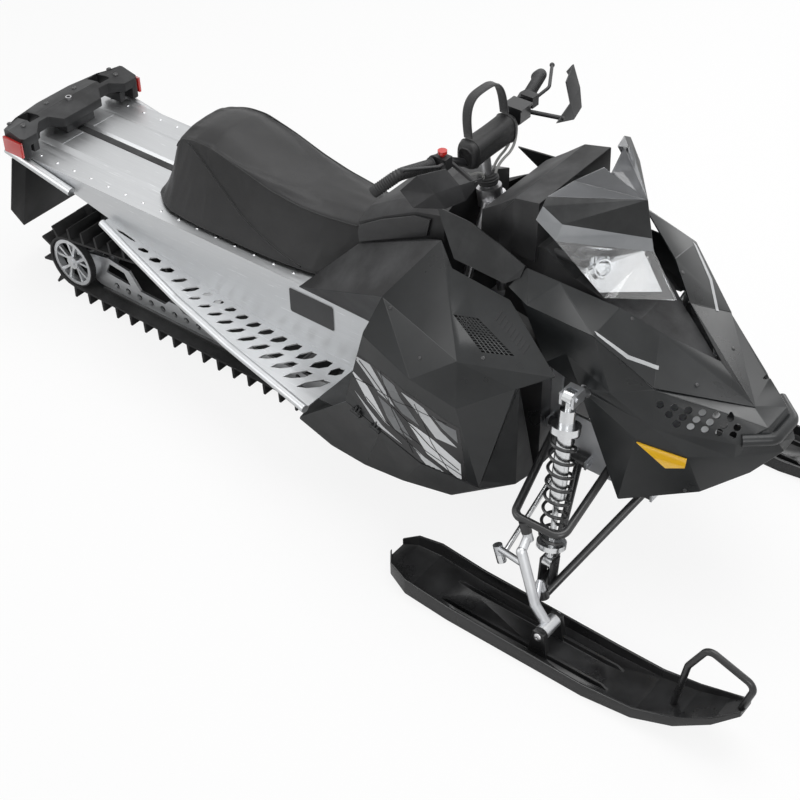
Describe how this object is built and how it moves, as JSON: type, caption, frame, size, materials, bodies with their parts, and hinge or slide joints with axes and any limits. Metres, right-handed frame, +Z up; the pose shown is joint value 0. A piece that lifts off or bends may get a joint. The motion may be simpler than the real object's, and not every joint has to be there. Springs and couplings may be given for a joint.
{
  "type": "snowmobile",
  "caption": "Mountain snowmobile with a long lugged track, skis on wishbone arms, faceted body, high bars with a grab strap and a slim saddle.",
  "frame": {"origin": "ground under the middle of the vehicle's outline", "axes": "+X forward, +Y to the rider's left, +Z up"},
  "size_m": [2.9744, 1.212, 1.196],
  "materials": {
    "body_plastic": "satin sheen",
    "black_plastic": "matt moulded",
    "lower_plastic": "satin grey",
    "tunnel_metal": "bright rolled",
    "forged_metal": "forged satin",
    "steel": "satin",
    "black_metal": "satin black",
    "cover_grey": "gloss",
    "smoke": "dark tinted",
    "lamp": "bright reflector",
    "clear": "clear moulded",
    "pad_rubber": "ribbed",
    "red_lens": "gloss",
    "amber": "gloss",
    "track_rubber": "matt",
    "soft_rubber": "matt",
    "vinyl": "grained",
    "webbing": "woven",
    "ski_plastic": "satin",
    "glide_plastic": "smooth",
    "shock_metal": "polished",
    "cable_grey": "satin"
  },
  "bodies": {
    "chassis": {"belly_pan": "lower_plastic", "bulkhead": "forged_metal", "console": "black_plastic", "cowl_face": "cover_grey", "cowl_plates": "lower_plastic", "drive_axle": "black_plastic", "engine": "black_metal", "frame_tubes": "steel", "headlamps": "lamp", "hood": "body_plastic", "hyfax": "glide_plastic", "idler_tyres": "soft_rubber", "inner_cowl": "black_plastic", "knee_pads": "pad_rubber", "lamp_lenses": "clear", "lower_arms": "black_metal", "nose": "body_plastic", "rear_bumper": "black_plastic", "rear_idlers": "forged_metal", "reflectors": "amber", "running_boards": "tunnel_metal", "seat": "vinyl", "shocks": "shock_metal", "side_arms": "lower_plastic", "slide_rails": "tunnel_metal", "snow_flap": "black_plastic", "springs": "black_metal", "suspension_arms": "black_metal", "tail_lamps": "red_lens", "tow_eye": "steel", "track": "track_rubber", "tunnel": "tunnel_metal", "upper_arms": "black_metal", "windshield": "smoke"},
    "steering": {"steering_post": "steel", "handlebar": "black_metal", "grips": "soft_rubber", "bar_pad": "vinyl", "grab_strap": "webbing", "hand_guards": "black_plastic", "controls": "black_plastic", "kill_button": "red_lens", "master_cylinder": "steel", "cables": "cable_grey"},
    "left_spindle": {"spindle_left": "forged_metal"},
    "left_tie": {"tie_rod_left": "shock_metal"},
    "left_runner": {"ski_left": "ski_plastic"},
    "left_door": {"side_panel_left": "body_plastic"},
    "right_spindle": {"spindle_right": "forged_metal"},
    "right_tie": {"tie_rod_right": "shock_metal"},
    "right_runner": {"ski_right": "ski_plastic"},
    "right_door": {"side_panel_right": "body_plastic"}
  },
  "joints": [
    {"name": "steering_turn", "type": "hinge", "parent": "chassis", "child": "steering", "pos_m": [0.38105, 0, 0.61015], "axis": [-0.1664, 0, 0.9861], "range_deg": [-30, 30]},
    {"name": "left_spindle_turn", "type": "hinge", "parent": "chassis", "child": "left_spindle", "pos_m": [0.85405, 0.47, 0.13215], "axis": [-0.336, -0.0448, 0.9408], "range_deg": [-23, 23]},
    {"name": "left_tie_turn", "type": "hinge", "parent": "left_spindle", "child": "left_tie", "pos_m": [0.72505, 0.472, 0.17215], "axis": [-0.336, -0.0448, 0.9408], "range_deg": [-23, 23]},
    {"name": "left_ski_pitch", "type": "hinge", "parent": "left_spindle", "child": "left_runner", "pos_m": [0.90905, 0.52, 0.07615], "axis": [0, 1, 0], "range_deg": [-15, 5], "stiffness_Nm_per_rad": 40},
    {"name": "left_door_tip", "type": "hinge", "parent": "chassis", "child": "left_door", "pos_m": [0.58905, 0.44, 0.26215], "axis": [-0.9498, 0, 0.3128], "range_deg": [0, 60]},
    {"name": "right_spindle_turn", "type": "hinge", "parent": "chassis", "child": "right_spindle", "pos_m": [0.85405, -0.47, 0.13215], "axis": [-0.336, 0.0448, 0.9408], "range_deg": [-23, 23]},
    {"name": "right_tie_turn", "type": "hinge", "parent": "right_spindle", "child": "right_tie", "pos_m": [0.72505, -0.472, 0.17215], "axis": [-0.336, 0.0448, 0.9408], "range_deg": [-23, 23]},
    {"name": "right_ski_pitch", "type": "hinge", "parent": "right_spindle", "child": "right_runner", "pos_m": [0.90905, -0.52, 0.07615], "axis": [0, 1, 0], "range_deg": [-15, 5], "stiffness_Nm_per_rad": 40},
    {"name": "right_door_tip", "type": "hinge", "parent": "chassis", "child": "right_door", "pos_m": [0.17605, -0.44, 0.39815], "axis": [0.9498, 0, -0.3128], "range_deg": [0, 60]}
  ],
  "couplings": [
    {"joint": "left_spindle_turn", "follows": "steering_turn", "ratio": 0.75},
    {"joint": "left_tie_turn", "follows": "steering_turn", "ratio": -0.75},
    {"joint": "right_spindle_turn", "follows": "steering_turn", "ratio": 0.75},
    {"joint": "right_tie_turn", "follows": "steering_turn", "ratio": -0.75}
  ]
}
